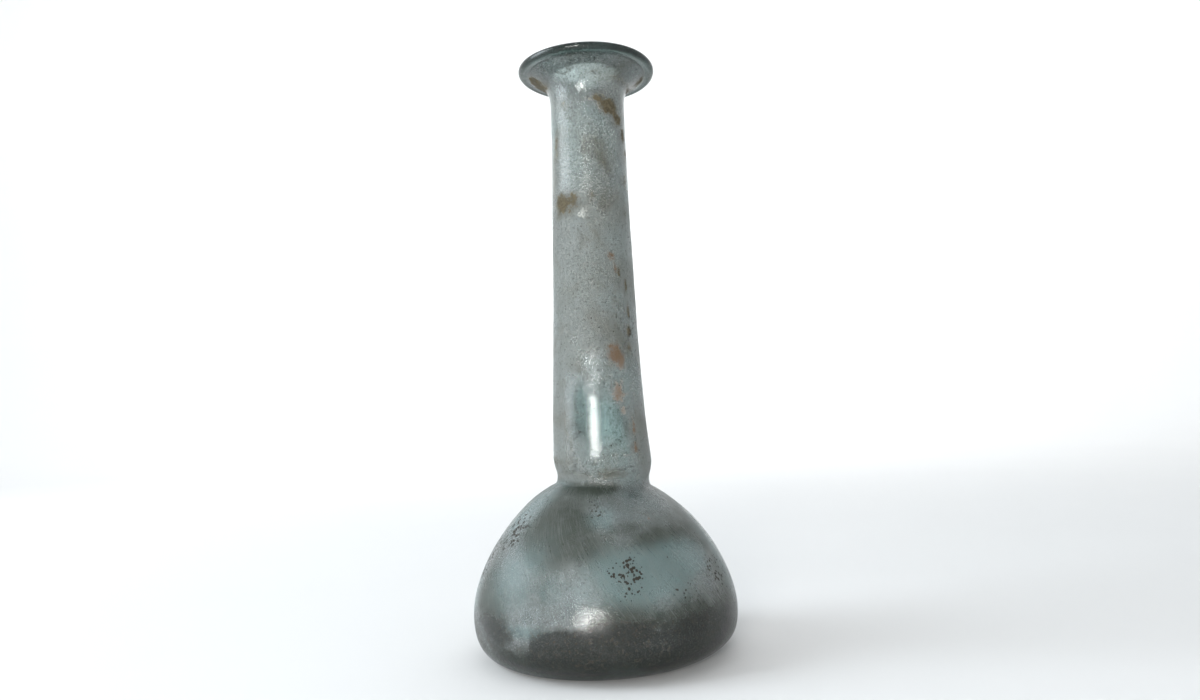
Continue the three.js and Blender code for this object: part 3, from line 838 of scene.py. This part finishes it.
def make_crumbs(s, dirt, material):
    """Loose crumbs on the inside of the neck and the body: one squashed 20-sided solid, set down many times.

    Crumbs fall where a seeded draw lies under the soil's field, and each is turned and sized at random."""
    profile, turn, places, marks, is_inner = flask_grid(s)
    rng = np.random.default_rng(41)
    level = profile[:, 1][:, None] / MM + 0 * turn
    chance = smooth(marks["soil"], 0.45, 0.95) + 0.5 * smooth(marks["rust"], 0.5, 1.0)
    low = within(level, 4.5, 7, 9, 15) * 0.35
    radius = np.maximum(profile[:, 0][:, None], 0) / MM
    chance = np.where(is_inner & (level < 150), chance + low, 0.0) * radius
    picks = rng.choice(chance.size, size=dirt.grains, replace=False, p=(chance / chance.sum()).ravel())
    rows, columns = np.unravel_index(picks, chance.shape)
    ahead = places[np.minimum(rows + 1, len(profile) - 1), columns]
    beside = places[rows, (columns + 1) % s.around]
    jitter = rng.uniform(0, 1, (len(picks), 2, 1))
    here = places[rows, columns]
    centre = here + (ahead - here) * jitter[:, 0] + (beside - here) * jitter[:, 1]

    corner, trios = crumb_shape()
    count = len(picks)
    size = dirt.grain_size * 0.5 * rng.uniform(0.45, 1.25, (count, 1, 3)) * rng.uniform(0.6, 1.2, (count, 1, 1))
    spin = rng.normal(size=(count, 3, 3))
    spin = np.linalg.qr(spin)[0]
    spin *= np.sign(np.linalg.det(spin))[:, None, None]
    shape = corner[None] * (1 + 0.18 * rng.normal(size=(count, 12, 1))) * size
    points = centre[:, None] + np.einsum("nij,nkj->nki", spin, shape)
    faces = (trios[None] + 12 * np.arange(count)[:, None, None]).reshape(-1, 3)
    made = add_object("soil_crumbs", points.reshape(-1, 3), faces.tolist(), smooth_faces=False)
    made.data.materials.append(material)
    return made


# --------------------------------------------------------------------------------------
# Stage
# --------------------------------------------------------------------------------------

LAMP_AIM = (0.0, 0.0, 0.08)
CAMERA_PLACE = (0.97 * MM, -228 * MM, 62.6 * MM)


def make_floor(settings):
    """A round floor that curves up into a rim: a flat disc, a quarter circle and an upright wall, turned."""
    bend, wall, around = 0.45, 1.1, 96
    t = np.linspace(0, 1, 12)
    flat = np.stack([settings.floor_radius * t, 0 * t], -1)
    a = np.linspace(0, pi / 2, 17)[1:]
    curve = np.stack([settings.floor_radius + bend * np.sin(a), bend * (1 - np.cos(a))], -1)
    climb = np.linspace(0, 1, 5)[1:]
    upright = np.stack([settings.floor_radius + bend + 0 * climb, bend + wall * climb], -1)
    profile = np.concatenate([flat, curve, upright])
    _, places = turned(profile, around)
    rows = len(profile)
    points = np.concatenate([places[1:].reshape(-1, 3), [[0, 0, 0]]])
    row, column = np.meshgrid(np.arange(rows - 2), np.arange(around), indexing="ij")
    beside = (column + 1) % around
    here, after = row * around, (row + 1) * around
    quads = np.stack([here + column, after + column, after + beside, here + beside], -1).reshape(-1, 4)
    step = np.arange(around)
    middle = np.stack([np.full(around, (rows - 1) * around), step, (step + 1) % around], -1)
    made = add_object("pale_floor", points - [0, 0, 0.02 * MM], quads.tolist() + middle.tolist())
    made.data.materials.append(floor_material(settings))
    return made


def add_lamp(name, azimuth, elevation, distance, width, tall, power, tint, aim=LAMP_AIM, shape="RECTANGLE"):
    """A soft flat lamp at an azimuth (0 is the camera's side, -90 is -X), turned to the flask."""
    data = bpy.data.lights.new(name, "AREA")
    data.shape = shape
    data.size, data.size_y, data.energy, data.color = width, tall, power, tint
    lamp = bpy.data.objects.new(name, data)
    bpy.context.scene.collection.objects.link(lamp)
    a, e = radians(azimuth), radians(elevation)
    at = Vector(aim) + distance * Vector((sin(a) * cos(e), -cos(a) * cos(e), sin(e)))
    lamp.location = at
    lamp.rotation_euler = (Vector(aim) - at).to_track_quat("-Z", "Y").to_euler()
    lamp.visible_camera = False
    return lamp


def make_stage(settings):
    """Floor, lights and camera."""
    scene = bpy.context.scene
    make_floor(settings)
    world = bpy.data.worlds.new("pale_room")
    world.use_nodes = True
    glow = world.node_tree.nodes["Background"]
    glow.inputs["Color"].default_value = (0.92, 0.96, 1.0, 1.0)
    glow.inputs["Strength"].default_value = settings.ambient
    scene.world = world
    add_lamp("front_lamp", -14, 7, 0.80, 0.21, 0.22, settings.key, (1.0, 0.985, 0.96), shape="ELLIPSE")
    add_lamp("window_lamp", -82, 24, 1.0, 0.55, 0.90, settings.window, (0.86, 0.94, 1.0))
    add_lamp("overhead_lamp", 180, 80, 1.15, 1.3, 1.3, settings.overhead, (0.97, 0.99, 1.0))
    wall = (0.0, settings.floor_radius + 0.45, 0.35)
    add_lamp("backdrop_lamp", 0, 35, 0.95, 1.4, 0.30, settings.backdrop, (0.98, 0.99, 1.0), wall)

    data = bpy.data.cameras.new("camera")
    data.lens, data.sensor_width, data.clip_start = settings.lens, 36.0, 0.005
    camera = bpy.data.objects.new("camera", data)
    scene.collection.objects.link(camera)
    turn = Euler((pi / 2 + settings.pitch, 0, 0)).to_matrix() @ Euler((0, 0, settings.roll)).to_matrix()
    camera.matrix_world = Matrix.Translation(CAMERA_PLACE) @ turn.to_4x4()
    scene.camera = camera
    scene.view_settings.view_transform = "Standard"
    return camera


# --------------------------------------------------------------------------------------
# Operators and panel
# --------------------------------------------------------------------------------------


class UNGUENTARIUM_OT_stage(bpy.types.Operator):
    """Set the pale floor, the lights and the camera"""

    bl_idname = "unguentarium.stage"
    bl_label = "Stage"
    bl_options = {"REGISTER", "UNDO"}

    def execute(self, context):
        make_stage(context.scene.unguentarium_stage)
        return {"FINISHED"}


class UNGUENTARIUM_OT_flask(bpy.types.Operator):
    """Blow the flask: one closed skin of weathered glass with its lip, neck and body"""

    bl_idname = "unguentarium.flask"
    bl_label = "Flask"
    bl_options = {"REGISTER", "UNDO"}

    def execute(self, context):
        settings, dirt = context.scene.unguentarium_flask, context.scene.unguentarium_soil
        made = make_flask(settings, glass_material(settings, dirt))
        if len(made.data.polygons) < 1000:
            raise RuntimeError("the flask's skin came out empty")
        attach(made, BODY)
        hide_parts(NODE)
        return {"FINISHED"}


class UNGUENTARIUM_OT_soil(bpy.types.Operator):
    """Lay the silt on the floor of the body and the crumbs on the walls"""

    bl_idname = "unguentarium.soil"
    bl_label = "Soil"
    bl_options = {"REGISTER", "UNDO"}

    def execute(self, context):
        settings, dirt = context.scene.unguentarium_flask, context.scene.unguentarium_soil
        made = [make_silt(settings, dirt, silt_material(dirt)), make_crumbs(settings, dirt, crumb_material(dirt))]
        for piece in made:
            if not piece.data.polygons:
                raise RuntimeError("no soil came out for " + piece.name)
            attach(piece, BODY)
        return {"FINISHED"}


class UNGUENTARIUM_PT_panel(bpy.types.Panel):
    """Sizes, colours and the steps that build the flask"""

    bl_label = "Unguentarium"
    bl_space_type = "VIEW_3D"
    bl_region_type = "UI"
    bl_category = "Unguentarium"

    def draw(self, context):
        for operator, settings in STEPS:
            box = self.layout.box()
            box.operator(operator)
            group = getattr(context.scene, settings)
            for name in type(group).__annotations__:
                box.prop(group, name)


STEPS = (
    ("unguentarium.stage", "unguentarium_stage"),
    ("unguentarium.flask", "unguentarium_flask"),
    ("unguentarium.soil", "unguentarium_soil"),
)
GROUPS = {
    "unguentarium_flask": FlaskSettings,
    "unguentarium_soil": SoilSettings,
    "unguentarium_stage": StageSettings,
}
CLASSES = (
    *GROUPS.values(),
    UNGUENTARIUM_OT_stage,
    UNGUENTARIUM_OT_flask,
    UNGUENTARIUM_OT_soil,
    UNGUENTARIUM_PT_panel,
)


def register():
    """Adds the classes, and their settings to the scene."""
    for made in CLASSES:
        bpy.utils.register_class(made)
    for name, group in GROUPS.items():
        setattr(bpy.types.Scene, name, PointerProperty(type=group))


def unregister():
    """Takes them away again."""
    for name in GROUPS:
        delattr(bpy.types.Scene, name)
    for made in reversed(CLASSES):
        bpy.utils.unregister_class(made)


def main():
    """Builds everything in order."""
    register()
    bpy.ops.unguentarium.stage()
    bpy.ops.unguentarium.flask()
    bpy.ops.unguentarium.soil()


if __name__ == "__main__":
    main()
